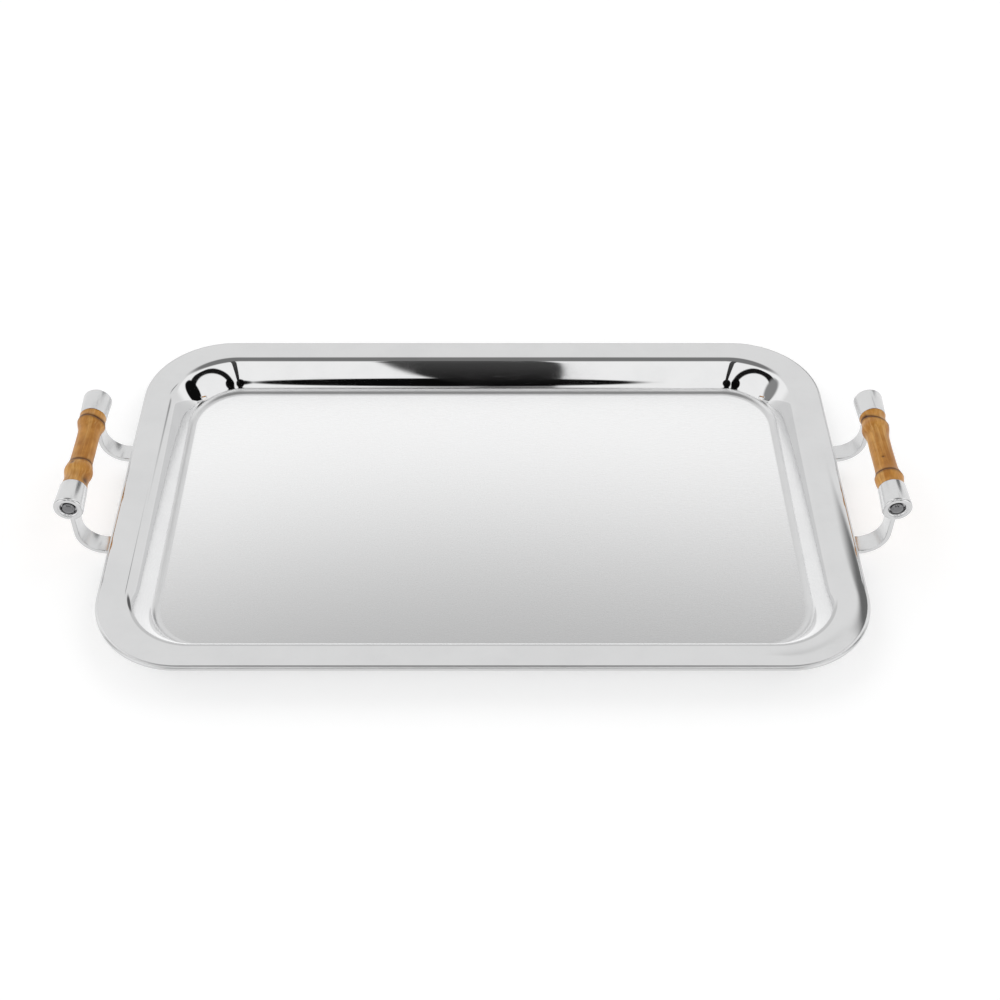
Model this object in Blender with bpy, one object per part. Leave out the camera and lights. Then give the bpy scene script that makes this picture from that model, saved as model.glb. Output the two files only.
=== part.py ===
"""Rectangular serving tray with two fixed bamboo-root end handles.

The tray is one pressed sheet: flat floor, steep wall, crowned rim and an edge rolled under.
Each end carries a handle: two bent strap brackets, two end cups (ferrules), a bamboo-root
grip between the cups, and a tie rod with a washer and a domed nut at each end.

Frame: metres, +Z up, origin on the underside of the floor at the middle of the tray.
X runs along the tray with a handle at each end, Y runs across it and the front is at -Y.
"""

import math

import bmesh
import bpy
from mathutils import Vector

GAP = 0.0003  # clearance between pieces that touch on the real object

# Tray pan, one pressed sheet
TRAY_LENGTH = 0.560
TRAY_WIDTH = 0.354
SHEET = 0.0012
OUTER_CORNER_RADIUS = 0.067
FLOOR_CORNER_RADIUS = 0.038
COVE_RADIUS = 0.006  # floor to wall
WALL_ANGLE = 68  # steepest slope of the wall, degrees
WALL_RADIUS = 0.0675  # the wall bulges gently inwards
SHOULDER_ANGLE = 50  # slope where the wall turns into the shoulder
SHOULDER_RADIUS = 0.008
RIM_RISE = 4  # slope of the rim beside the shoulder
RIM_FALL = 1  # slope of the rim beside the rolled edge
RIM_CROWN_RADIUS = 0.1855
ROLL_RADIUS = 0.0026
ROLL_TURN = 194
PAN_ARC_STEP = 13  # degrees per facet along the pan's profile
CORNER_STEPS = 10

# Handles: the axis runs along Y at the same height at both ends of the tray
HANDLE_X = 0.3025
HANDLE_Z = 0.0636
HANDLE_HALF_LENGTH = 0.061  # middle of the grip to the outer face of a cup

# End cup, turned about the handle's axis
CUP_LENGTH = 0.022
CUP_MOUTH_RADIUS = 0.0102
CUP_END_RADIUS = 0.0111
CUP_EDGE_RADIUS = 0.0022
CUP_BORE_RADIUS = 0.0094
CUP_BORE_DEPTH = 0.0155
DISH_RADIUS = 0.0074
DISH_FLOOR_RADIUS = 0.0056
DISH_DEPTH = 0.004
ROD_HOLE_RADIUS = 0.0024
TURNED_STEPS = 24

# Bamboo grip
GRIP_HALF_VISIBLE = HANDLE_HALF_LENGTH - CUP_LENGTH
GRIP_END_RADIUS = 0.0100
GRIP_WAIST_RADIUS = 0.0083
NODE_RADIUS = 0.0104
NODE_HALF_WIDTH = 0.006
GRIP_NODES = {"left": (-0.022, 0.031), "right": (-0.030, 0.025)}  # world Y of the growth nodes
GRIP_RINGS = 17
SPIGOT_CLEARANCE = 0.0004

# Tie rod and its ends
ROD_RADIUS = 0.002
WASHER_RADIUS = 0.0052
WASHER_THICKNESS = 0.0008
NUT_RADIUS = 0.00475
NUT_SKIRT = 0.0006
NUT_DOME = 0.0024
NUT_HOLE_DEPTH = 0.0018
ROD_STEPS = 16

# Strap brackets
STRAP_WIDTH = 0.0155
STRAP_THICKNESS = 0.0034
STRAP_Y = 0.050  # middle of a strap from the middle of the tray
STRAP_LEVEL_Z = 0.0145
STRAP_BEND_RADIUS = 0.020
STRAP_FOOT_RADIUS = 0.005
STRAP_FOOT_ANGLE = 63  # slope of the foot that lies on the pan's wall
STRAP_FOOT_LENGTH = 0.006
STRAP_FOOT_X = 0.2564  # where the level run turns down into the foot
STRAP_ARC_STEP = 11
STRAP_EDGE_BEVEL = 0.0006

STEEL = ("polished_steel", (0.86, 0.86, 0.87), 0.08, 1.0)
BAMBOO = ("bamboo", (0.48, 0.25, 0.09), 0.42, 0.0)
NUT_STEEL = ("nut_steel", (0.62, 0.62, 0.64), 0.15, 1.0)
ROD_STEEL = ("rod_steel", (0.50, 0.50, 0.52), 0.35, 1.0)


def clear_scene():
    """Remove every object so that the script builds the same thing each time."""
    for obj in list(bpy.data.objects):
        bpy.data.objects.remove(obj, do_unlink=True)


def material(spec):
    """Return the Principled material for (name, colour, roughness, metallic)."""
    name, colour, roughness, metallic = spec
    mat = bpy.data.materials.get(name) or bpy.data.materials.new(name)
    mat.use_nodes = True
    shader = mat.node_tree.nodes["Principled BSDF"]
    shader.inputs["Base Color"].default_value = (*colour, 1.0)
    shader.inputs["Roughness"].default_value = roughness
    shader.inputs["Metallic"].default_value = metallic
    return mat


def add_object(name, bm, spec, parent=None, smooth_angle=35):
    """Turn a bmesh into a named, smooth-shaded object whose faces point outwards."""
    bmesh.ops.recalc_face_normals(bm, faces=bm.faces)
    mesh = bpy.data.meshes.new(name)
    bm.to_mesh(mesh)
    bm.free()
    mesh.shade_smooth()
    mesh.set_sharp_from_angle(angle=math.radians(smooth_angle))
    mesh.materials.append(material(spec))
    obj = bpy.data.objects.new(name, mesh)
    bpy.context.scene.collection.objects.link(obj)
    obj.parent = parent
    return obj


def add_empty(name, location, turn_z):
    """Add an empty that places one handle's pieces."""
    empty = bpy.data.objects.new(name, None)
    bpy.context.scene.collection.objects.link(empty)
    empty.location = location
    empty.rotation_euler = (0, 0, turn_z)
    return empty


def trace(start, heading, moves, arc_step):
    """Follow tangent lines and arcs in a plane, as (u, v, heading in degrees) stations.

    A move is ("line", length) or ("arc", radius, turn in degrees, positive to the left).
    """
    u, v = start
    stations = [(u, v, heading)]
    for move in moves:
        if move[0] == "line":
            u += move[1] * math.cos(math.radians(heading))
            v += move[1] * math.sin(math.radians(heading))
            stations.append((u, v, heading))
            continue
        _, radius, turn = move
        side = math.copysign(radius, turn)
        centre_u = u - side * math.sin(math.radians(heading))
        centre_v = v + side * math.cos(math.radians(heading))
        steps = max(3, math.ceil(abs(turn) / arc_step))
        for step in range(1, steps + 1):
            angle = heading + turn * step / steps
            u = centre_u + side * math.sin(math.radians(angle))
            v = centre_v - side * math.cos(math.radians(angle))
            stations.append((u, v, angle))
        heading += turn
    return stations


def offset(stations, distance):
    """Shift each station to the left of its heading by the distance, keeping the heading."""
    return [
        (
            u - distance * math.sin(math.radians(a)),
            v + distance * math.cos(math.radians(a)),
            a,
        )
        for u, v, a in stations
    ]


def loft(rings):
    """Skin a list of equal rings into one closed body, with a flat cap at each end."""
    bm = bmesh.new()
    loops = [[bm.verts.new(point) for point in ring] for ring in rings]
    count = len(loops[0])
    for near, far in zip(loops, loops[1:]):
        for i in range(count):
            j = (i + 1) % count
            bm.faces.new((near[i], near[j], far[j], far[i]))
    bm.faces.new(reversed(loops[0]))
    bm.faces.new(loops[-1])
    return bm


def turned(profile, steps, closed):
    """Spin a profile of (radius, y) points about the Y axis.

    A closed profile is a loop clear of the axis; an open one starts and ends on the axis.
    """
    bm = bmesh.new()
    verts = [bm.verts.new((radius, y, 0)) for radius, y in profile]
    edges = [bm.edges.new(pair) for pair in zip(verts, verts[1:])]
    if closed:
        edges.append(bm.edges.new((verts[-1], verts[0])))
    bmesh.ops.spin(
        bm,
        geom=verts + edges,
        cent=(0, 0, 0),
        axis=(0, 1, 0),
        angle=math.tau,
        steps=steps,
        use_merge=True,
    )
    bmesh.ops.remove_doubles(bm, verts=bm.verts, dist=1e-6)
    return bm


def rounded_rectangle(half_x, half_y, radius, z):
    """Points of a rounded rectangle at one height, counter-clockwise from the +X side."""
    points = []
    for quarter, (sx, sy) in enumerate(((1, 1), (-1, 1), (-1, -1), (1, -1))):
        for step in range(CORNER_STEPS + 1):
            angle = (quarter + step / CORNER_STEPS) * math.pi / 2
            x = sx * (half_x - radius) + radius * math.cos(angle)
            y = sy * (half_y - radius) + radius * math.sin(angle)
            points.append(Vector((x, y, z)))
    return points


def pan_profile():
    """Upper face of the sheet from the floor's edge outwards, to the end of the rolled edge."""
    moves = (
        ("arc", COVE_RADIUS, WALL_ANGLE),
        ("arc", WALL_RADIUS, SHOULDER_ANGLE - WALL_ANGLE),
        ("arc", SHOULDER_RADIUS, RIM_RISE - SHOULDER_ANGLE),
        ("arc", RIM_CROWN_RADIUS, -RIM_FALL - RIM_RISE),
        ("arc", ROLL_RADIUS, -ROLL_TURN),
    )
    return trace((0, SHEET), 0, moves, PAN_ARC_STEP)


def make_pan():
    """Pressed pan: the sheet's upper face, round the rolled edge and back along its underside."""
    upper = pan_profile()
    reach = max(u for u, _, _ in upper)
    under = offset(upper, -SHEET)
    spread = (OUTER_CORNER_RADIUS - FLOOR_CORNER_RADIUS) / reach
    rings = []
    for u, z, _ in upper + under[::-1]:
        inset = reach - u
        radius = OUTER_CORNER_RADIUS - spread * inset
        half_x = TRAY_LENGTH / 2 - inset
        half_y = TRAY_WIDTH / 2 - inset
        rings.append(rounded_rectangle(half_x, half_y, radius, z))
    return add_object("tray_pan", loft(rings), STEEL)


def make_bracket(name, parent, y):
    """Bent flat strap: down from the cup, level under the rim, then a foot along the wall."""
    top = HANDLE_Z - CUP_END_RADIUS - GAP
    moves = (
        ("line", top - STRAP_LEVEL_Z - STRAP_BEND_RADIUS),
        ("arc", STRAP_BEND_RADIUS, -90),
        ("line", HANDLE_X - STRAP_BEND_RADIUS - STRAP_FOOT_X),
        ("arc", STRAP_FOOT_RADIUS, STRAP_FOOT_ANGLE),
        ("line", STRAP_FOOT_LENGTH),
    )
    middle = trace((0, top - HANDLE_Z), -90, moves, STRAP_ARC_STEP)
    outer = offset(middle, STRAP_THICKNESS / 2)
    inner = offset(middle, -STRAP_THICKNESS / 2)
    half = STRAP_WIDTH / 2
    rings = [
        (
            Vector((a[0], -half, a[1])),
            Vector((a[0], half, a[1])),
            Vector((b[0], half, b[1])),
            Vector((b[0], -half, b[1])),
        )
        for a, b in zip(outer, inner)
    ]
    obj = add_object(name, loft(rings), STEEL, parent)
    obj.location = (0, y, 0)
    bevel = obj.modifiers.new("rounded_edges", "BEVEL")
    bevel.width = STRAP_EDGE_BEVEL
    bevel.segments = 2
    bevel.limit_method = "ANGLE"
    bevel.angle_limit = math.radians(40)
    return obj


def cup_profile():
    """Closed (radius, y) loop of an end cup whose mouth is nearest the grip."""
    mouth = HANDLE_HALF_LENGTH - CUP_LENGTH
    end = HANDLE_HALF_LENGTH
    edge_centre = (CUP_END_RADIUS - CUP_EDGE_RADIUS, end - CUP_EDGE_RADIUS)
    edge = [
        (
            edge_centre[0] + CUP_EDGE_RADIUS * math.cos(math.radians(a)),
            edge_centre[1] + CUP_EDGE_RADIUS * math.sin(math.radians(a)),
        )
        for a in (0, 30, 60, 90)
    ]
    fall = DISH_RADIUS - DISH_FLOOR_RADIUS
    dish = [
        (
            DISH_RADIUS - fall * math.sin(math.radians(a)),
            end - DISH_DEPTH * (1 - math.cos(math.radians(a))),
        )
        for a in (0, 35, 65, 90)
    ]
    bore_end = mouth + CUP_BORE_DEPTH
    return (
        [(CUP_BORE_RADIUS, mouth), (CUP_MOUTH_RADIUS, mouth)]
        + edge
        + dish
        + [(ROD_HOLE_RADIUS, end - DISH_DEPTH), (ROD_HOLE_RADIUS, bore_end)]
        + [(CUP_BORE_RADIUS, bore_end)]
    )


def dish_floor():
    """Distance of the dish's flat floor from the middle of the grip."""
    return HANDLE_HALF_LENGTH - DISH_DEPTH


def washer_profile():
    """Closed loop of the washer that lies in the dish."""
    low = dish_floor() + GAP
    high = low + WASHER_THICKNESS
    return [
        (ROD_HOLE_RADIUS, low),
        (WASHER_RADIUS, low),
        (WASHER_RADIUS, high),
        (ROD_HOLE_RADIUS, high),
    ]


def nut_profile():
    """Domed nut, open at the blind hole that the rod screws into."""
    base = dish_floor() + WASHER_THICKNESS + 2 * GAP
    skirt_top = base + NUT_SKIRT
    hole = ROD_RADIUS + GAP
    dome = [
        (
            NUT_RADIUS * math.cos(math.radians(a)),
            skirt_top + NUT_DOME * math.sin(math.radians(a)),
        )
        for a in (0, 20, 40, 60, 78)
    ]
    return (
        [(0, base + NUT_HOLE_DEPTH), (hole, base + NUT_HOLE_DEPTH), (hole, base)]
        + [(NUT_RADIUS, base)]
        + dome
        + [(0, skirt_top + NUT_DOME)]
    )


def rod_half_length():
    """The rod stops just short of the bottom of each nut's hole."""
    base = dish_floor() + WASHER_THICKNESS + 2 * GAP
    return base + NUT_HOLE_DEPTH - GAP


def grip_radius(y, nodes):
    """Radius of the bamboo at y: slim between its growth nodes, full at them and at the ends."""
    end = max(0.0, abs(y) / GRIP_HALF_VISIBLE) ** 6
    radius = GRIP_WAIST_RADIUS + (GRIP_END_RADIUS - GRIP_WAIST_RADIUS) * end
    swell = max(math.exp(-(((y - node) / NODE_HALF_WIDTH) ** 2)) for node in nodes)
    return radius + (NODE_RADIUS - radius) * swell


def grip_profile(nodes):
    """Closed loop of the grip: turned bamboo, a spigot at each end and a bore for the rod."""
    spigot = CUP_BORE_RADIUS - SPIGOT_CLEARANCE
    spigot_end = GRIP_HALF_VISIBLE + CUP_BORE_DEPTH - SPIGOT_CLEARANCE
    shoulder = GRIP_HALF_VISIBLE - GAP
    body = []
    for step in range(GRIP_RINGS + 1):
        y = -shoulder + 2 * shoulder * step / GRIP_RINGS
        body.append((grip_radius(y, nodes), y))
    low = [(ROD_HOLE_RADIUS, -spigot_end), (spigot, -spigot_end), (spigot, -shoulder)]
    high = [(spigot, shoulder), (spigot, spigot_end), (ROD_HOLE_RADIUS, spigot_end)]
    return low + body + high


def rod_profile():
    """Open profile of the tie rod."""
    half = rod_half_length()
    return [(0, -half), (ROD_RADIUS, -half), (ROD_RADIUS, half), (0, half)]


def make_handle(side):
    """One complete handle. The left one is the right one turned half a turn about Z."""
    sign, turn = (1, 0.0) if side == "right" else (-1, math.pi)
    root = add_empty(f"{side}_handle", (sign * HANDLE_X, 0, HANDLE_Z), turn)
    nodes = [sign * y for y in GRIP_NODES[side]]
    grip = turned(grip_profile(nodes), TURNED_STEPS, True)
    add_object(f"{side}_grip", grip, BAMBOO, root)
    rod = turned(rod_profile(), ROD_STEPS, False)
    add_object(f"{side}_tie_rod", rod, ROD_STEEL, root)
    for end, local in (("rear", sign), ("front", -sign)):
        spin = 0.0 if local > 0 else math.pi
        pieces = (
            ("ferrule", turned(cup_profile(), TURNED_STEPS, True), STEEL),
            ("washer", turned(washer_profile(), ROD_STEPS, True), ROD_STEEL),
            ("dome_nut", turned(nut_profile(), ROD_STEPS, False), NUT_STEEL),
        )
        for kind, bm, spec in pieces:
            obj = add_object(f"{side}_{end}_{kind}", bm, spec, root)
            obj.rotation_euler = (0, 0, spin)
        make_bracket(f"{side}_{end}_bracket", root, local * STRAP_Y)


def main():
    clear_scene()
    make_pan()
    for side in ("left", "right"):
        make_handle(side)


main()
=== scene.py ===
"""Looks of the serving tray: fine meshes, materials, studio and camera around the CAD frame.

Everything is in metres in the CAD frame: +Z up, X along the tray, front at -Y.
"""

import math

import bmesh
import bpy
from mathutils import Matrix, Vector, noise


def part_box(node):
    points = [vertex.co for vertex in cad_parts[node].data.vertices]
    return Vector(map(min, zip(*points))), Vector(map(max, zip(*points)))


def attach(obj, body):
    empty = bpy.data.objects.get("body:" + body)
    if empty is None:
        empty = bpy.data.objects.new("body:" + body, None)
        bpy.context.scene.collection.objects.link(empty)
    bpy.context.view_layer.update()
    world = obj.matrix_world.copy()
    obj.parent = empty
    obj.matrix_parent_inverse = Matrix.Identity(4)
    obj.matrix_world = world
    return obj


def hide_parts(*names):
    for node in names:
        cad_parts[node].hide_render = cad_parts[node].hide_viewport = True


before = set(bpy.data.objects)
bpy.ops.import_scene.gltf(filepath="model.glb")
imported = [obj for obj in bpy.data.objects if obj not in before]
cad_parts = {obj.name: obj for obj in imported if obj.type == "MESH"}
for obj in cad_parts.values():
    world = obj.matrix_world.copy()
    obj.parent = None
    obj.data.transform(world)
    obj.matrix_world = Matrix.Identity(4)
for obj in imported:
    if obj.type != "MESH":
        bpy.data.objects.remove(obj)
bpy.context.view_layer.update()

# Pressed sheet
SHEET = 0.0012
OUTER_CORNER_RADIUS = 0.067
FLOOR_CORNER_RADIUS = 0.038
COVE_RADIUS = 0.006
WALL_ANGLE = 68
WALL_RADIUS = 0.0675
SHOULDER_ANGLE = 50
SHOULDER_RADIUS = 0.008
RIM_RISE = 4
RIM_FALL = 1
RIM_CROWN_RADIUS = 0.1855
ROLL_RADIUS = 0.0026
ROLL_TURN = 194
PAN_ARC_STEP = 2.5  # degrees per facet on tight bends
PAN_RUN_STEP = 0.0012  # metres per facet on slow bends
CORNER_STEPS = 28
SIDE_STEP = 0.008
FLOOR_MARGINS = (0.0006, 0.0014, 0.004)  # rings inside the floor's edge that keep it flat
SATIN_EDGE = 0.0008  # width over which the polish turns into the satin floor
EDGE_FADE = 14  # degrees of turn over which the rim's polish fades into the worn edge
COVE_DULL_END = 54  # slope up to which the cove is as dull as the worn edge
COVE_DULL_FADE = 14

# End cup
CUP_LENGTH = 0.022
CUP_MOUTH_RADIUS = 0.0102
CUP_END_RADIUS = 0.0111
CUP_EDGE_RADIUS = 0.0022
CUP_LIP_RADIUS = 0.0003
CUP_BORE_RADIUS = 0.0094
CUP_BORE_DEPTH = 0.0155
DISH_RADIUS = 0.0074
DISH_LIP_RADIUS = 0.0005
DISH_FLOOR_RADIUS = 0.0056
DISH_DEPTH = 0.004
ROD_HOLE_RADIUS = 0.0024
TURNED_STEPS = 72

# Washer and domed nut
WASHER_RADIUS = 0.0052
NUT_RADIUS = 0.00475
NUT_DOME = 0.0024

# Strap bracket
STRAP_THICKNESS = 0.0034
STRAP_LEVEL_Z = 0.0145
STRAP_BEND_RADIUS = 0.020
STRAP_FOOT_RADIUS = 0.005
STRAP_FOOT_ANGLE = 63
STRAP_FOOT_LENGTH = 0.006
STRAP_FOOT_X = 0.2564
STRAP_EDGE_RADIUS = 0.0007
STRAP_WELD_REACH = 0.0008  # how far the strap's top enters the underside of the cup

# Bamboo grip
GRIP_END_RADIUS = 0.0100
GRIP_WAIST_RADIUS = 0.0083
NODE_RADIUS = 0.0104
NODE_HALF_WIDTH = 0.006
GRIP_NODES = {"left": (-0.022, 0.031), "right": (-0.030, 0.025)}
GRIP_MAX_RADIUS = 0.0108
GRIP_RINGS = 190
GRIP_STEPS = 96
GRIP_SHOULDER = 0.0004  # step from the body of the grip down to its spigot
GRIP_SPIGOT_RADIUS = 0.0089
GRIP_SPIGOT_REACH = 0.004  # how far the visible grip goes on inside the cup
GRIP_BEND = 0.00035
GRIP_LUMPS = 0.00022
GRIP_OVAL = 0.012
GRIP_GROWTH_RINGS = {  # place along Y of each ring, and its slant towards +X
    "left": ((-0.0150, 0.0006), (0.0315, -0.0012)),
    "right": ((-0.0275, -0.0010), (0.0300, -0.0042)),
}
RING_WOBBLE = 0.00035
RING_GROOVE = 0.00042
RING_GROOVE_WIDTH = 0.0006
RING_LIP = 0.0003
RING_LIP_GAP = 0.0012
RING_LIP_WIDTH = 0.0007
RING_SHADE_WIDTH = 0.0017
SCAR_DEPTH = 0.0004
GRIP_SCARS = {  # place along Y, angle about the axis and size of each root scar
    "left": ((-0.0345, 25, 0.0034), (0.016, 150, 0.0012), (-0.0195, 110, 0.0016)),
    "right": ((0.0245, 15, 0.0032), (-0.0125, 110, 0.0010), (0.034, 140, 0.0014)),
}

# Metals and bamboo
MIRROR_COLOUR = (0.640, 0.641, 0.643, 1)
MIRROR_WORN = (0.612, 0.613, 0.616, 1)
SHEET_POLISH = (0.025, 0.06)  # roughness where clean and where smudged
HANDLE_POLISH = (0.19, 0.27)
SATIN_COLOUR = (0.870, 0.871, 0.873, 1)
SATIN_GRAIN = (0.882, 0.883, 0.885, 1)
SATIN_ROUGHNESS = 0.27
# Painted shade on the satin floor: its colour darkens as it is seen more steeply, standing in for
# dimmer light towards the front
SATIN_GLANCING = 0.665  # cosine of the angle of view up to which the satin is at its palest, with no painted shade
SATIN_STEEP = 0.792  # cosine from which the painted shade on the satin is at its darkest
SATIN_PAINTED_SHADE = 0.55
EDGE_ROUGHNESS = 0.30  # the rolled edge is worn dull
RIPPLE_HEIGHT = 0.00006
HAIRLINE_HEIGHT = 0.0000006
NUT_COLOUR = (0.15, 0.15, 0.155, 1)
NUT_WORN = (0.24, 0.24, 0.245, 1)
ROD_COLOUR = (0.50, 0.50, 0.52, 1)
ROD_WORN = (0.36, 0.35, 0.35, 1)
BAMBOO_GOLD = (0.620, 0.285, 0.044, 1)
BAMBOO_DEEP = (0.420, 0.163, 0.016, 1)
BAMBOO_PALE = (0.800, 0.490, 0.160, 1)
BAMBOO_FIBRE = (0.250, 0.085, 0.009, 1)
BAMBOO_RING = (0.070, 0.020, 0.004, 1)
BAMBOO_SCAR = (0.045, 0.014, 0.004, 1)
FIBRE_HEIGHT = 0.00004
LACQUER_WEIGHT = 0.10
BAMBOO_SHEEN = 0.28  # strength of the reflection under the lacquer
LACQUER_ROUGHNESS = 0.22

# Camera
CAMERA_PITCH = 45.0
CAMERA_DISTANCE = 1.1618
CAMERA_TARGET_Z = 0.024
CAMERA_LENS = 53.85
CAMERA_SHIFT = (0.0172, -0.0106)

# Studio: brightness of each card, and where it stands in degrees
FLOOR_HALF_SIZE = 3.0
FLOOR_GAP = 0.0004
FLOOR_GLOW = 0.34
BACKDROP = 1.0
SECOND_BOUNCE = 1.42  # plain light for reflections of reflections
SECOND_BOUNCE_DEPTH = 2.5  # the world is at ray depth 2 after one reflection, 3 after two
BACK_SWEEP = 1.06
FRONT_CARD = 1.30
FRONT_CARD_END = 118
FRONT_CARD_TOP = 60
LOW_BACK = 0.80
LOW_BACK_START = 150
LOW_BACK_TOP = 24
CEILING_GAP = 0.27
CEILING_GAP_LEAN = 2
CEILING_GAP_RADIUS = 27
CEILING_GAP_SOFT = 7
TABLE = 1.05
DARK_OPENINGS = (  # centre and half-size as (azimuth, elevation), softness, brightness
    ((-1.4, 11), (7.6, 6.2), 0.08, 0.004),  # under the camera
    ((18.2, 14), (8.5, 8), 0.07, 0.004),
    ((-18.2, 14), (8.5, 8), 0.07, 0.004),
    ((92, 14), (12, 18), 0.08, 0.006),
    ((-88, 17), (11, 17), 0.25, 0.35),
    ((150, 18), (8, 14), 0.35, 0.16),
)
ARCH_CENTRE = (53.5, 12)
ARCH_RADII = (38, 28)
ARCH_HALF = 0.13  # half-thickness as a share of the radii
ARCH = 0.012
STAND_FOOT = 4
STAND_TOP = 66
STAND_LEFT = -0.3
STAND_RIGHT = 2.8
STAND_LEAN = 0.13
STAND_FLARE = 0.03
STAND_LOW = 0.004
STAND_HIGH = 0.10
BOOM = 0.20
BOOM_START = 143
BOOM_END = 162
BOOM_HEIGHT = 50.7
BOOM_SLOPE = 0.27
BOOM_HALF = 1.7


# Mesh helpers ---------------------------------------------------------------------------


def trace(start, heading, moves, arc_step, run_step=math.inf):
    """Follow tangent lines and arcs in a plane, as (u, v, heading in degrees) stations.

    A move is ("line", length) or ("arc", radius, turn in degrees, positive to the left).
    """
    u, v = start
    stations = [(u, v, heading)]
    for move in moves:
        if move[0] == "line":
            steps = max(1, math.ceil(move[1] / run_step))
            du = move[1] * math.cos(math.radians(heading)) / steps
            dv = move[1] * math.sin(math.radians(heading)) / steps
            for _ in range(steps):
                u += du
                v += dv
                stations.append((u, v, heading))
            continue
        _, radius, turn = move
        side = math.copysign(radius, turn)
        centre_u = u - side * math.sin(math.radians(heading))
        centre_v = v + side * math.cos(math.radians(heading))
        length = radius * abs(math.radians(turn))
        steps = max(3, math.ceil(abs(turn) / arc_step), math.ceil(length / run_step))
        for step in range(1, steps + 1):
            angle = heading + turn * step / steps
            u = centre_u + side * math.sin(math.radians(angle))
            v = centre_v - side * math.cos(math.radians(angle))
            stations.append((u, v, angle))
        heading += turn
    return stations


def offset(stations, distance):
    """Shift each station to the left of its heading by the distance, keeping the heading."""
    return [
        (
            u - distance * math.sin(math.radians(a)),
            v + distance * math.cos(math.radians(a)),
            a,
        )
        for u, v, a in stations
    ]


def mesh_object(name, verts, faces, sharp=35):
    """A smooth-shaded object from points and faces, with faces turned outwards."""
    mesh = bpy.data.meshes.new(name)
    mesh.from_pydata([tuple(v) for v in verts], [], faces)
    bm = bmesh.new()
    bm.from_mesh(mesh)
    bmesh.ops.recalc_face_normals(bm, faces=bm.faces)
    bm.to_mesh(mesh)
    bm.free()
    mesh.shade_smooth()
    mesh.set_sharp_from_angle(angle=math.radians(sharp))
    obj = bpy.data.objects.new(name, mesh)
    bpy.context.scene.collection.objects.link(obj)
    return obj


def skin(name, rings, sharp=35):
    """Closed body through equal rings of points, with a flat cap at each end."""
    count = len(rings[0])
    verts = [point for ring in rings for point in ring]
    faces = [tuple(reversed(range(count)))]
    for k in range(len(rings) - 1):
        low, high = k * count, (k + 1) * count
        for i in range(count):
            j = (i + 1) % count
            faces.append((low + i, low + j, high + j, high + i))
    last = (len(rings) - 1) * count
    faces.append(tuple(range(last, last + count)))
    return mesh_object(name, verts, faces, sharp)


def turned(name, profile, axis_x, axis_z, direction, closed, sharp=35):
    """Spin (radius, distance) points about a line along Y; direction is +1 or -1."""
    verts, faces = [], []
    poles = [radius < 1e-9 for radius, _ in profile]
    starts = []
    for (radius, along), pole in zip(profile, poles):
        starts.append(len(verts))
        for step in range(1 if pole else TURNED_STEPS):
            angle = math.tau * step / TURNED_STEPS
            x = axis_x + radius * math.cos(angle)
            z = axis_z + radius * math.sin(angle)
            verts.append((x, direction * along, z))
    pairs = list(zip(range(len(profile)), range(1, len(profile))))
    if closed:
        pairs.append((len(profile) - 1, 0))
    for a, b in pairs:
        for i in range(TURNED_STEPS):
            j = (i + 1) % TURNED_STEPS
            if poles[a]:
                faces.append((starts[a], starts[b] + i, starts[b] + j))
            elif poles[b]:
                faces.append((starts[a] + i, starts[a] + j, starts[b]))
            else:
                quad = (starts[a] + i, starts[a] + j, starts[b] + j, starts[b] + i)
                faces.append(quad)
    return mesh_object(name, verts, faces, sharp)


def arc_points(centre, radius, start, end, steps):
    """Points on an arc from the start angle to the end angle, in degrees."""
    points = []
    for step in range(steps + 1):
        angle = math.radians(start + (end - start) * step / steps)
        x = centre[0] + radius * math.cos(angle)
        y = centre[1] + radius * math.sin(angle)
        points.append((x, y))
    return points


# Tray pan -------------------------------------------------------------------------------


def outline(half_x, half_y, radius, z, sides):
    """Points of a rounded rectangle, counter-clockwise, with evenly split straight sides."""
    points = []
    quarters = ((1, 1), (-1, 1), (-1, -1), (1, -1))
    for quarter, (sx, sy) in enumerate(quarters):
        centre = Vector((sx * (half_x - radius), sy * (half_y - radius), z))
        for step in range(CORNER_STEPS + 1):
            angle = (quarter + step / CORNER_STEPS) * math.pi / 2
            points.append(centre + radius * Vector((math.cos(angle), math.sin(angle), 0)))
        nx, ny = quarters[(quarter + 1) % 4]
        angle = (quarter + 1) * math.pi / 2
        target = Vector((nx * (half_x - radius), ny * (half_y - radius), z))
        target += radius * Vector((math.cos(angle), math.sin(angle), 0))
        start = points[-1]
        count = sides[quarter % 2]
        points += [start.lerp(target, k / count) for k in range(1, count)]
    return points


def pan_profile():
    """Upper face of the sheet from the floor's edge outwards, to the end of the rolled edge."""
    moves = (
        ("arc", COVE_RADIUS, WALL_ANGLE),
        ("arc", WALL_RADIUS, SHOULDER_ANGLE - WALL_ANGLE),
        ("arc", SHOULDER_RADIUS, RIM_RISE - SHOULDER_ANGLE),
        ("arc", RIM_CROWN_RADIUS, -RIM_FALL - RIM_RISE),
        ("arc", ROLL_RADIUS, -ROLL_TURN),
    )
    return trace((0, SHEET), 0, moves, PAN_ARC_STEP, PAN_RUN_STEP)


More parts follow.
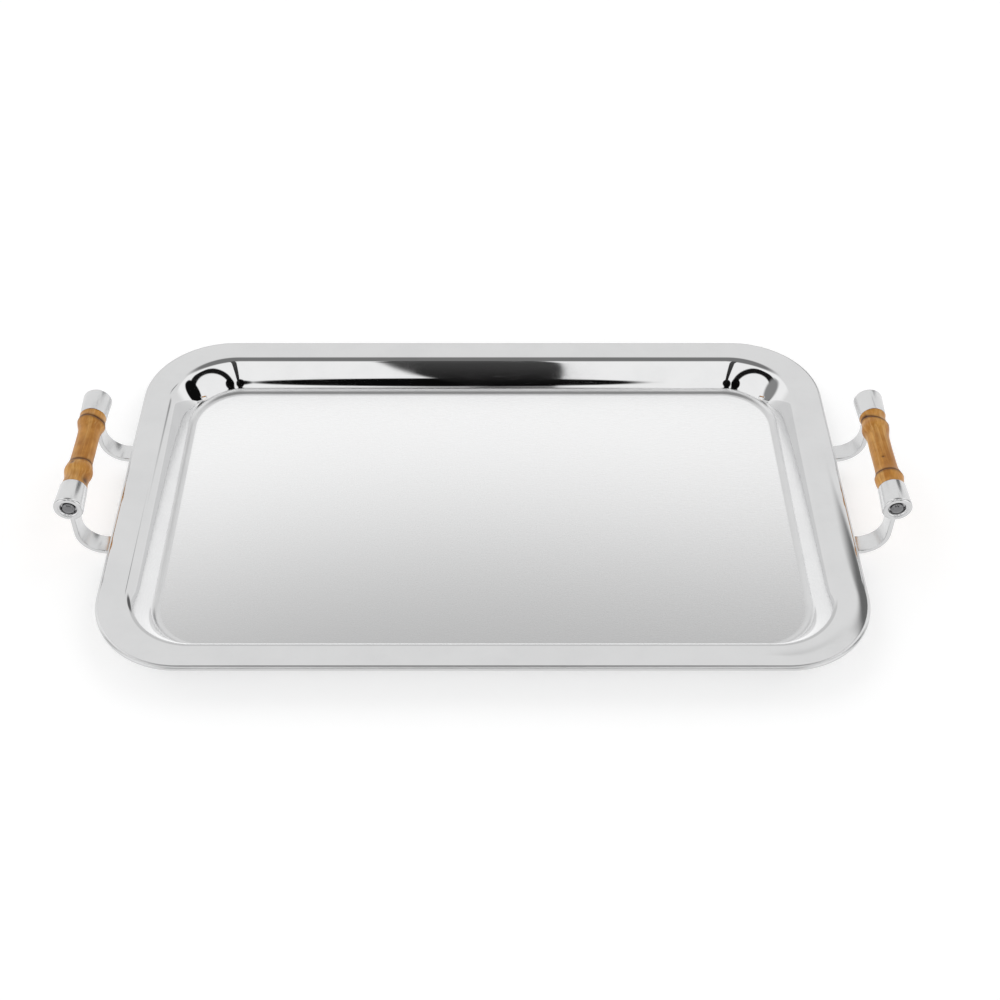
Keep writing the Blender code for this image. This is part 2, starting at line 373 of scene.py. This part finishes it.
def make_pan():
    low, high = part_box("tray_pan")
    half_x, half_y = (high.x - low.x) / 2, (high.y - low.y) / 2
    upper = pan_profile()
    reach = max(u for u, _, _ in upper)
    under = offset(upper, -SHEET)
    flat = [(-margin, SHEET, 0) for margin in reversed(FLOOR_MARGINS)]
    flat_under = [(-margin, 0.0, 0) for margin in FLOOR_MARGINS]
    stations = flat + upper + under[::-1] + flat_under
    spread = (OUTER_CORNER_RADIUS - FLOOR_CORNER_RADIUS) / reach
    sides = (
        math.ceil(2 * (half_x - OUTER_CORNER_RADIUS) / SIDE_STEP),
        math.ceil(2 * (half_y - OUTER_CORNER_RADIUS) / SIDE_STEP),
    )
    cove_end = len(flat) + sum(1 for u, _, _ in upper if u < COVE_RADIUS)
    rings, satin, edge = [], [], []
    for index, (u, z, heading) in enumerate(stations):
        inset = reach - u
        radius = OUTER_CORNER_RADIUS - spread * inset
        ring = outline(half_x - inset, half_y - inset, radius, low.z + z, sides)
        rings.append(ring)
        on_floor = index < len(flat) + 1
        share = min(1.0, max(0.0, -u / SATIN_EDGE)) if on_floor else 0.0
        satin += [share] * len(ring)
        dull = (-heading - RIM_FALL) / EDGE_FADE
        if index < cove_end:
            dull = (COVE_DULL_END + COVE_DULL_FADE - heading) / COVE_DULL_FADE
        edge += [min(1.0, max(0.0, dull))] * len(ring)
    pan = skin("tray_pan_sheet", rings, sharp=60)
    for label, values in (("satin", satin), ("edge", edge)):
        attribute = pan.data.attributes.new(label, "FLOAT", "POINT")
        attribute.data.foreach_set("value", values)
    return pan


# Handles --------------------------------------------------------------------------------


def make_cup(name, x, z, direction, end):
    mouth = end - CUP_LENGTH
    edge_centre = (CUP_END_RADIUS - CUP_EDGE_RADIUS, end - CUP_EDGE_RADIUS)
    lip_centre = (CUP_MOUTH_RADIUS - CUP_LIP_RADIUS, mouth + CUP_LIP_RADIUS)
    dish_lip = (DISH_RADIUS + DISH_LIP_RADIUS, end - DISH_LIP_RADIUS)
    fall = DISH_RADIUS - DISH_FLOOR_RADIUS
    depth = DISH_DEPTH - DISH_LIP_RADIUS
    dish = [
        (
            DISH_RADIUS - fall * math.sin(math.radians(a)),
            dish_lip[1] - depth * (1 - math.cos(math.radians(a))),
        )
        for a in range(10, 91, 10)
    ]
    profile = (
        [(CUP_BORE_RADIUS, mouth)]
        + arc_points(lip_centre, CUP_LIP_RADIUS, -90, 0, 4)
        + arc_points(edge_centre, CUP_EDGE_RADIUS, 0, 90, 12)
        + arc_points(dish_lip, DISH_LIP_RADIUS, 90, 180, 5)
        + dish
        + [(ROD_HOLE_RADIUS, end - DISH_DEPTH)]
        + [(ROD_HOLE_RADIUS, mouth + CUP_BORE_DEPTH)]
        + [(CUP_BORE_RADIUS, mouth + CUP_BORE_DEPTH)]
    )
    return turned(name, profile, x, z, direction, True)


def make_washer(name, x, z, direction, low, high):
    edge = 0.00015
    profile = [
        (ROD_HOLE_RADIUS, low),
        (WASHER_RADIUS - edge, low),
        (WASHER_RADIUS, low + edge),
        (WASHER_RADIUS, high - edge),
        (WASHER_RADIUS - edge, high),
        (ROD_HOLE_RADIUS, high),
    ]
    return turned(name, profile, x, z, direction, True)


def make_nut(name, x, z, direction, low, high):
    skirt_top = high - NUT_DOME
    dome = [
        (
            NUT_RADIUS * math.cos(math.radians(a)),
            skirt_top + NUT_DOME * math.sin(math.radians(a)),
        )
        for a in range(0, 90, 6)
    ]
    profile = [(0, low), (NUT_RADIUS - 0.0002, low), (NUT_RADIUS, low + 0.0002)]
    profile += dome + [(0, high)]
    return turned(name, profile, x, z, direction, False)


def strap_section(width):
    """Rounded rectangle across the strap, as (along Y, across the thickness) points."""
    half_w, half_t = width / 2, STRAP_THICKNESS / 2
    points = []
    for quarter, (sw, st) in enumerate(((1, 1), (-1, 1), (-1, -1), (1, -1))):
        centre = (sw * (half_w - STRAP_EDGE_RADIUS), st * (half_t - STRAP_EDGE_RADIUS))
        start = quarter * 90
        points += arc_points(centre, STRAP_EDGE_RADIUS, start, start + 90, 4)
    return points


def make_bracket(name, node, cup_node, side):
    low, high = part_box(node)
    cup_low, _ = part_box(cup_node)
    axis_x = side * max(abs(low.x), abs(high.x)) - side * STRAP_THICKNESS / 2
    y = (low.y + high.y) / 2
    top = cup_low.z + STRAP_WELD_REACH
    moves = (
        ("line", top - STRAP_LEVEL_Z - STRAP_BEND_RADIUS),
        ("arc", STRAP_BEND_RADIUS, -90),
        ("line", abs(axis_x) - STRAP_BEND_RADIUS - STRAP_FOOT_X),
        ("arc", STRAP_FOOT_RADIUS, STRAP_FOOT_ANGLE),
        ("line", STRAP_FOOT_LENGTH),
    )
    section = strap_section(high.y - low.y)
    rings = []
    for u, v, a in trace((abs(axis_x), top), -90, moves, 3, 0.004):
        normal = (-math.sin(math.radians(a)), math.cos(math.radians(a)))
        rings.append(
            [
                Vector((side * (u + t * normal[0]), y + w, v + t * normal[1]))
                for w, t in section
            ]
        )
    return skin(name, rings, sharp=50)


def grip_radius(y, nodes, half):
    """Radius of the bamboo at y: slim between its growth nodes, full at them and at the ends."""
    end = max(0.0, abs(y) / half) ** 6
    radius = GRIP_WAIST_RADIUS + (GRIP_END_RADIUS - GRIP_WAIST_RADIUS) * end
    swell = max(math.exp(-(((y - node) / NODE_HALF_WIDTH) ** 2)) for node in nodes)
    return radius + (NODE_RADIUS - radius) * swell


def ring_offset(y, angle, ring_y, slant):
    """Distance along the culm from a growth ring that runs slanted around it."""
    wobble = RING_WOBBLE * math.sin(3 * angle + ring_y / RING_GROOVE_WIDTH)
    return y - ring_y - slant * math.cos(angle) - wobble


def ring_profile(distance):
    """Height of the surface beside a growth ring: a groove with a raised lip in front of it."""
    groove = -RING_GROOVE * math.exp(-((distance / RING_GROOVE_WIDTH) ** 2))
    lip = RING_LIP * math.exp(-(((distance + RING_LIP_GAP) / RING_LIP_WIDTH) ** 2))
    return groove + lip


def make_grip(name, x, z, side_name, half, seed):
    """Bamboo-root grip with slanted growth rings, a slight bend, lumps and root scars."""
    shoulder = half - GRIP_SHOULDER
    spots = GRIP_SCARS[side_name]
    nodes = GRIP_NODES[side_name]
    rings, rows = [], []
    for k in range(GRIP_RINGS + 1):
        rows.append((-shoulder + 2 * shoulder * k / GRIP_RINGS, None))
    ends = [(half + GRIP_SPIGOT_REACH, GRIP_SPIGOT_RADIUS), (half, GRIP_SPIGOT_RADIUS)]
    rows = [(-y, r) for y, r in ends] + rows + [(y, r) for y, r in reversed(ends)]
    dark, scars = [], []
    for y, fixed in rows:
        ring = []
        taper = max(0.0, 1 - (y / half) ** 2)
        bend_x = GRIP_BEND * taper * math.cos(seed * 2.1)
        bend_z = GRIP_BEND * taper * math.sin(seed * 2.1) * 0.5
        for i in range(GRIP_STEPS):
            angle = math.tau * i / GRIP_STEPS
            direction = Vector((math.cos(angle), 0, math.sin(angle)))
            shade, scar = 0.0, 0.0
            if fixed is None:
                radius = grip_radius(y, nodes, half)
                for ring_y, slant in GRIP_GROWTH_RINGS[side_name]:
                    distance = ring_offset(y, angle, ring_y, slant)
                    radius += ring_profile(distance)
                    shade = max(shade, math.exp(-((distance / RING_SHADE_WIDTH) ** 2)))
                for spot_y, spot_angle, size in spots:
                    across = radius * math.sin((angle - math.radians(spot_angle)) / 2) * 2
                    away = math.hypot(y - spot_y, across) / size
                    scar = max(scar, math.exp(-(away**2)))
                radius -= SCAR_DEPTH * scar
                place_in_noise = Vector((direction.x, y * 60, direction.z)) * 1.4
                radius += GRIP_LUMPS * noise.noise(place_in_noise + Vector((seed * 7, 0, 0)))
                radius *= 1 + GRIP_OVAL * math.cos(2 * angle + seed)
                radius = min(radius, GRIP_MAX_RADIUS)
            else:
                radius = fixed
            centre = Vector((x + bend_x, y, z + bend_z))
            if fixed is not None:
                centre = Vector((x, y, z))
            ring.append(centre + radius * direction)
            dark.append(shade)
            scars.append(scar)
        rings.append(ring)
    grip = skin(name, rings, sharp=50)
    for label, values in (("ring", dark), ("scar", scars)):
        attribute = grip.data.attributes.new(label, "FLOAT", "POINT")
        attribute.data.foreach_set("value", values)
    return grip


# Materials ------------------------------------------------------------------------------


class Graph:
    """Short calls that build shader nodes; values may be sockets or plain numbers."""

    def __init__(self, tree):
        self.tree = tree

    def node(self, kind, **settings):
        node = self.tree.nodes.new(kind)
        for key, value in settings.items():
            setattr(node, key, value)
        return node

    def feed(self, socket, value):
        if isinstance(value, bpy.types.NodeSocket):
            self.tree.links.new(value, socket)
        else:
            socket.default_value = value

    def math(self, operation, a, b=0.0):
        node = self.node("ShaderNodeMath", operation=operation)
        self.feed(node.inputs[0], a)
        self.feed(node.inputs[1], b)
        return node.outputs[0]

    def smooth(self, value, low, high, start=0.0, end=1.0):
        """Smooth step from start at low to end at high."""
        node = self.node("ShaderNodeMapRange", interpolation_type="SMOOTHSTEP")
        for socket, item in zip(node.inputs, (value, low, high, start, end)):
            self.feed(socket, item)
        return node.outputs[0]

    def window(self, value, low, high, soft):
        """One between low and high, fading to nought over the soft width at each end."""
        rise = self.smooth(value, low - soft / 2, low + soft / 2)
        fall = self.smooth(value, high - soft / 2, high + soft / 2, 1.0, 0.0)
        return self.math("MULTIPLY", rise, fall)

    def ellipse(self, u, v, centre, radii, soft):
        """One inside an ellipse, fading to nought over the soft share of its radius."""
        across = self.math("DIVIDE", self.math("SUBTRACT", u, centre[0]), radii[0])
        along = self.math("DIVIDE", self.math("SUBTRACT", v, centre[1]), radii[1])
        square = self.math("MULTIPLY", across, across)
        total = self.math("ADD", square, self.math("MULTIPLY", along, along))
        return self.smooth(self.math("SQRT", total), 1 - soft, 1 + soft, 1.0, 0.0)

    def mix(self, factor, a, b):
        node = self.node("ShaderNodeMix", data_type="FLOAT")
        for index, item in ((0, factor), (2, a), (3, b)):
            self.feed(node.inputs[index], item)
        return node.outputs[0]

    def blend(self, factor, a, b):
        """Mix two colours."""
        node = self.node("ShaderNodeMix", data_type="RGBA")
        for index, item in ((0, factor), (6, a), (7, b)):
            self.feed(node.inputs[index], item)
        return node.outputs[2]

    def scaled(self, scale):
        """Object coordinates in metres, stretched along each axis."""
        place = self.node("ShaderNodeTexCoord").outputs["Object"]
        node = self.node("ShaderNodeVectorMath", operation="MULTIPLY")
        self.feed(node.inputs[0], place)
        node.inputs[1].default_value = scale
        return node.outputs[0]

    def noise(self, scale, detail=3.0, roughness=0.5):
        """Noise with a scale in cells per metre along each axis."""
        node = self.node("ShaderNodeTexNoise")
        self.feed(node.inputs["Vector"], self.scaled(scale))
        node.inputs["Scale"].default_value = 1.0
        node.inputs["Detail"].default_value = detail
        node.inputs["Roughness"].default_value = roughness
        return node.outputs["Fac"]

    def bump(self, height, distance, normal=None):
        node = self.node("ShaderNodeBump")
        node.inputs["Distance"].default_value = distance
        self.feed(node.inputs["Height"], height)
        if normal is not None:
            self.feed(node.inputs["Normal"], normal)
        return node.outputs[0]

    def attribute(self, name):
        return self.node("ShaderNodeAttribute", attribute_name=name).outputs["Fac"]


def new_material(name):
    mat = bpy.data.materials.new(name)
    mat.use_nodes = True
    return mat, Graph(mat.node_tree), mat.node_tree.nodes["Principled BSDF"]


def polished_steel(name, polish, smudged):
    """Polished steel of two roughnesses; where the satin attribute is one it is satin, with
    painted shade that darkens it as it is seen more steeply.
    """
    mat, graph, shader = new_material(name)
    satin = graph.attribute("satin")
    smudge = graph.noise((28, 34, 40), 4, 0.6)
    hairline = graph.noise((70, 2600, 2600), 2, 0.5)
    scratch_noise = graph.noise((35, 1500, 900), 1, 0.4)
    scratch = graph.smooth(scratch_noise, 0.74, 0.78)
    brushed = graph.noise((45, 3400, 3400), 3, 0.6)
    mirror_rough = graph.smooth(smudge, 0.35, 0.75, polish, smudged)
    mirror_rough = graph.math("ADD", mirror_rough, graph.math("MULTIPLY", scratch, 0.05))
    satin_rough = graph.smooth(brushed, 0.3, 0.7, SATIN_ROUGHNESS - 0.02, SATIN_ROUGHNESS + 0.03)
    edge = graph.attribute("edge")
    mirror_rough = graph.mix(edge, mirror_rough, EDGE_ROUGHNESS)
    graph.feed(shader.inputs["Roughness"], graph.mix(satin, mirror_rough, satin_rough))
    wear = graph.smooth(smudge, 0.3, 0.8)
    mirror_colour = graph.blend(wear, MIRROR_COLOUR, MIRROR_WORN)
    satin_colour = graph.blend(brushed, SATIN_COLOUR, SATIN_GRAIN)
    # Painted shade: the satin's colour is darkened by the angle of view, from none at glancing
    # views to its darkest at steep ones, for dimmer light towards the front
    facing = graph.node("ShaderNodeNewGeometry")
    cosine = graph.node("ShaderNodeVectorMath", operation="DOT_PRODUCT")
    graph.feed(cosine.inputs[0], facing.outputs["Normal"])
    graph.feed(cosine.inputs[1], facing.outputs["Incoming"])
    steep = graph.smooth(cosine.outputs["Value"], SATIN_GLANCING, SATIN_STEEP)
    shade = graph.mix(steep, 1.0, SATIN_PAINTED_SHADE)
    grey = graph.node("ShaderNodeCombineColor")
    for socket in grey.inputs:
        graph.feed(socket, shade)
    satin_painted_shade = graph.node("ShaderNodeMix", data_type="RGBA", blend_type="MULTIPLY")
    for index, item in ((0, 1.0), (6, satin_colour), (7, grey.outputs[0])):
        graph.feed(satin_painted_shade.inputs[index], item)
    satin_colour = satin_painted_shade.outputs[2]
    graph.feed(shader.inputs["Base Color"], graph.blend(satin, mirror_colour, satin_colour))
    shader.inputs["Metallic"].default_value = 1.0
    ripple = graph.noise((14, 14, 14), 1, 0.3)
    still = graph.math("SUBTRACT", 1.0, satin)
    wave = graph.bump(graph.math("MULTIPLY", ripple, still), RIPPLE_HEIGHT)
    lines = graph.mix(satin, graph.math("MULTIPLY", hairline, 0.25), brushed)
    graph.feed(shader.inputs["Normal"], graph.bump(lines, HAIRLINE_HEIGHT, wave))
    return mat


def turned_steel(name, colour, worn, roughness, axis, groove_height):
    """Steel with fine turning marks around the handle's axis, given as (x, z) at +X."""
    mat, graph, shader = new_material(name)
    place = graph.node("ShaderNodeSeparateXYZ")
    graph.feed(place.inputs[0], graph.scaled((1, 1, 1)))
    across = graph.math("SUBTRACT", graph.math("ABSOLUTE", place.outputs[0]), axis[0])
    height = graph.math("SUBTRACT", place.outputs[2], axis[1])
    square = graph.math("MULTIPLY", across, across)
    radius = graph.math("SQRT", graph.math("ADD", square, graph.math("MULTIPLY", height, height)))
    marks = graph.node("ShaderNodeTexNoise", noise_dimensions="1D")
    graph.feed(marks.inputs["W"], graph.math("MULTIPLY", radius, 9000.0))
    marks.inputs["Scale"].default_value = 1.0
    stain = graph.noise((420, 420, 420), 4, 0.6)
    graph.feed(shader.inputs["Base Color"], graph.blend(stain, colour, worn))
    rough = graph.smooth(stain, 0.3, 0.7, roughness * 0.7, roughness * 1.4)
    graph.feed(shader.inputs["Roughness"], rough)
    graph.feed(shader.inputs["Normal"], graph.bump(marks.outputs[0], groove_height))
    shader.inputs["Metallic"].default_value = 1.0
    return mat


def bamboo():
    """Lacquered bamboo root: fibres along the grip, mottling, dark growth rings and scars."""
    mat, graph, shader = new_material("bamboo")
    fibres = graph.noise((1500, 45, 1500), 4, 0.6)
    streaks = graph.noise((420, 18, 420), 2, 0.5)
    mottle = graph.noise((95, 70, 95), 3, 0.55)
    flecks = graph.smooth(graph.noise((1900, 260, 1900), 2, 0.5), 0.66, 0.74)
    body = graph.blend(graph.smooth(mottle, 0.32, 0.68), BAMBOO_DEEP, BAMBOO_GOLD)
    body = graph.blend(graph.smooth(streaks, 0.45, 0.75, 0.0, 0.55), body, BAMBOO_PALE)
    body = graph.blend(graph.smooth(fibres, 0.35, 0.75, 0.32, 0.0), body, BAMBOO_FIBRE)
    body = graph.blend(graph.math("MULTIPLY", flecks, 0.35), body, BAMBOO_RING)
    ring = graph.attribute("ring")
    broken = graph.smooth(mottle, 0.2, 0.55, 0.62, 1.0)
    body = graph.blend(graph.math("MULTIPLY", ring, broken), body, BAMBOO_RING)
    body = graph.blend(graph.math("MULTIPLY", graph.attribute("scar"), 0.85), body, BAMBOO_SCAR)
    graph.feed(shader.inputs["Base Color"], body)
    rough = graph.smooth(fibres, 0.3, 0.7, 0.34, 0.5)
    graph.feed(shader.inputs["Roughness"], rough)
    relief = graph.math("ADD", fibres, graph.math("MULTIPLY", streaks, 1.5))
    graph.feed(shader.inputs["Normal"], graph.bump(relief, FIBRE_HEIGHT))
    shader.inputs["Specular IOR Level"].default_value = BAMBOO_SHEEN
    shader.inputs["Coat Weight"].default_value = LACQUER_WEIGHT
    shader.inputs["Coat Roughness"].default_value = LACQUER_ROUGHNESS
    return mat


# Assembly -------------------------------------------------------------------------------


def place(obj, nodes, slot, mat):
    obj.data.materials.append(mat)
    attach(obj, "root")
    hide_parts(*nodes)


def make_end(prefix, side, end, cup_axis, reach, steel, nut_steel, rod_steel):
    """One end of one handle: cup, washer, domed nut and strap."""
    cup = make_cup(f"{prefix}_cup", *cup_axis, end, reach)
    place(cup, [f"{prefix}_ferrule"], "polished_steel", steel)
    spans = {}
    for kind in ("washer", "dome_nut"):
        low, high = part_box(f"{prefix}_{kind}")
        spans[kind] = sorted((abs(low.y), abs(high.y)))
    washer = make_washer(f"{prefix}_end_washer", *cup_axis, end, *spans["washer"])
    place(washer, [f"{prefix}_washer"], "rod_steel", rod_steel)
    nut = make_nut(f"{prefix}_end_nut", *cup_axis, end, *spans["dome_nut"])
    place(nut, [f"{prefix}_dome_nut"], "nut_steel", nut_steel)
    strap = make_bracket(f"{prefix}_strap", f"{prefix}_bracket", f"{prefix}_ferrule", side)
    place(strap, [f"{prefix}_bracket"], "polished_steel", steel)


def main():
    sheet_steel = polished_steel("polished_steel", *SHEET_POLISH)
    handle_steel = polished_steel("handle_steel", *HANDLE_POLISH)
    wood = bamboo()
    grip_low, grip_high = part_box("right_grip")
    axis = ((grip_low.x + grip_high.x) / 2, (grip_low.z + grip_high.z) / 2)
    nut_steel = turned_steel("nut_steel", NUT_COLOUR, NUT_WORN, 0.16, axis, 2e-6)
    rod_steel = turned_steel("rod_steel", ROD_COLOUR, ROD_WORN, 0.34, axis, 8e-6)
    place(make_pan(), ["tray_pan"], "polished_steel", sheet_steel)
    for seed, (side_name, side) in enumerate((("left", -1), ("right", 1))):
        for end_name, end in (("front", -1), ("rear", 1)):
            prefix = f"{side_name}_{end_name}"
            low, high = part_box(f"{prefix}_ferrule")
            cup_axis = ((low.x + high.x) / 2, (low.z + high.z) / 2)
            reach = max(abs(low.y), abs(high.y))
            make_end(prefix, side, end, cup_axis, reach, handle_steel, nut_steel, rod_steel)
        half = reach - CUP_LENGTH
        grip = make_grip(f"{side_name}_bamboo", side * axis[0], axis[1], side_name, half, seed)
        place(grip, [f"{side_name}_grip"], "bamboo", wood)
        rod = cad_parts[f"{side_name}_tie_rod"].data
        rod.materials.clear()
        rod.materials.append(rod_steel)


# Studio ---------------------------------------------------------------------------------


def make_floor():
    """Pale table: white, with a little light of its own so that only soft shadows show."""
    size = FLOOR_HALF_SIZE
    corners = ((-size, -size), (size, -size), (size, size), (-size, size))
    verts = [(x, y, -FLOOR_GAP) for x, y in corners]
    floor = mesh_object("studio_floor", verts, [(0, 1, 2, 3)])
    mat, _, shader = new_material("studio_floor")
    shader.inputs["Base Color"].default_value = (0.82, 0.82, 0.82, 1)
    shader.inputs["Roughness"].default_value = 0.9
    shader.inputs["Specular IOR Level"].default_value = 0.0
    shader.inputs["Emission Color"].default_value = (1, 1, 1, 1)
    shader.inputs["Emission Strength"].default_value = FLOOR_GLOW
    floor.data.materials.append(mat)
    floor.visible_glossy = False


def make_camera():
    pitch = math.radians(CAMERA_PITCH)
    data = bpy.data.cameras.new("camera")
    data.lens = CAMERA_LENS
    data.sensor_width = 36.0
    data.shift_x, data.shift_y = CAMERA_SHIFT
    camera = bpy.data.objects.new("camera", data)
    bpy.context.scene.collection.objects.link(camera)
    camera.location = (
        0,
        -CAMERA_DISTANCE * math.cos(pitch),
        CAMERA_TARGET_Z + CAMERA_DISTANCE * math.sin(pitch),
    )
    camera.rotation_euler = (math.pi / 2 - pitch, 0, 0)
    bpy.context.scene.camera = camera


def make_world():
    """Soft studio by direction: azimuth 0 is the front, positive to the right, in degrees."""
    world = bpy.data.worlds.new("studio")
    bpy.context.scene.world = world
    world.use_nodes = True
    graph = Graph(world.node_tree)
    background = world.node_tree.nodes["Background"]
    axes = graph.node("ShaderNodeSeparateXYZ")
    graph.feed(axes.inputs[0], graph.node("ShaderNodeTexCoord").outputs["Generated"])
    x, y, z = axes.outputs
    turn = graph.math("ARCTAN2", x, graph.math("MULTIPLY", y, -1.0))
    azimuth = graph.math("DEGREES", turn)
    aside = graph.math("ABSOLUTE", azimuth)
    elevation = graph.math("DEGREES", graph.math("ARCSINE", z))

    level = BACK_SWEEP
    # White card all along the front and the sides
    front = graph.window(aside, -400, FRONT_CARD_END, 12)
    front = graph.math("MULTIPLY", front, graph.window(elevation, -400, FRONT_CARD_TOP, 4))
    level = graph.mix(front, level, FRONT_CARD)
    # The sweep is a little darker low down behind the table
    low = graph.window(aside, LOW_BACK_START, 400, 14)
    low = graph.math("MULTIPLY", low, graph.window(elevation, -400, LOW_BACK_TOP, 6))
    level = graph.mix(low, level, LOW_BACK)
    # Dark gap in the ceiling
    lean = math.radians(CEILING_GAP_LEAN)
    forward = graph.math("MULTIPLY", y, -math.sin(lean))
    upward = graph.math("ADD", forward, graph.math("MULTIPLY", z, math.cos(lean)))
    off_axis = graph.math("DEGREES", graph.math("ARCCOSINE", upward))
    inner, outer = CEILING_GAP_RADIUS - CEILING_GAP_SOFT, CEILING_GAP_RADIUS + CEILING_GAP_SOFT
    ceiling = graph.smooth(off_axis, inner, outer, 1.0, 0.0)
    level = graph.mix(ceiling, level, CEILING_GAP)
    # Dark arch around the card on each side of the camera
    across = graph.math("DIVIDE", graph.math("SUBTRACT", aside, ARCH_CENTRE[0]), ARCH_RADII[0])
    along = graph.math("DIVIDE", graph.math("SUBTRACT", elevation, ARCH_CENTRE[1]), ARCH_RADII[1])
    square = graph.math("MULTIPLY", across, across)
    total = graph.math("ADD", square, graph.math("MULTIPLY", along, along))
    arch = graph.window(graph.math("SQRT", total), 1 - ARCH_HALF, 1 + ARCH_HALF, 0.06)
    level = graph.mix(arch, level, ARCH)
    # Dark openings below the cards, then the camera's stand in the middle
    for centre, radii, soft, tone in DARK_OPENINGS:
        level = graph.mix(graph.ellipse(azimuth, elevation, centre, radii, soft), level, tone)
    above = graph.math("SUBTRACT", elevation, STAND_FOOT)
    left = graph.math("ADD", graph.math("MULTIPLY", above, -STAND_LEAN), STAND_LEFT)
    right = graph.math("ADD", graph.math("MULTIPLY", above, STAND_FLARE), STAND_RIGHT)
    from_left = graph.smooth(graph.math("SUBTRACT", azimuth, left), -0.3, 0.3)
    from_right = graph.smooth(graph.math("SUBTRACT", right, azimuth), -0.15, 0.15)
    stand = graph.math("MULTIPLY", from_left, from_right)
    stand = graph.math("MULTIPLY", stand, graph.window(elevation, STAND_FOOT, STAND_TOP, 4))
    tone = graph.smooth(elevation, STAND_FOOT, STAND_TOP - 8, STAND_LOW, STAND_HIGH)
    level = graph.mix(stand, level, tone)
    # Boom arm behind the right side
    slope = graph.math("MULTIPLY", graph.math("SUBTRACT", azimuth, BOOM_START), -BOOM_SLOPE)
    off_boom = graph.math("SUBTRACT", graph.math("SUBTRACT", elevation, BOOM_HEIGHT), slope)
    boom = graph.window(off_boom, -BOOM_HALF, BOOM_HALF, 1.2)
    boom = graph.math("MULTIPLY", boom, graph.window(azimuth, BOOM_START, BOOM_END, 6))
    level = graph.mix(boom, level, BOOM)
    # White table below the horizon
    level = graph.mix(graph.smooth(elevation, -1.5, 0.5, 1.0, 0.0), level, TABLE)
    # Reflections of reflections see a plain bright room, the camera a plain pale backdrop
    path = graph.node("ShaderNodeLightPath").outputs
    deep = graph.math("GREATER_THAN", path["Ray Depth"], SECOND_BOUNCE_DEPTH)
    level = graph.mix(deep, level, SECOND_BOUNCE)
    level = graph.mix(path["Is Camera Ray"], level, BACKDROP)
    graph.feed(background.inputs["Color"], level)


main()
make_floor()
make_camera()
make_world()
bpy.context.scene.view_settings.view_transform = "Standard"
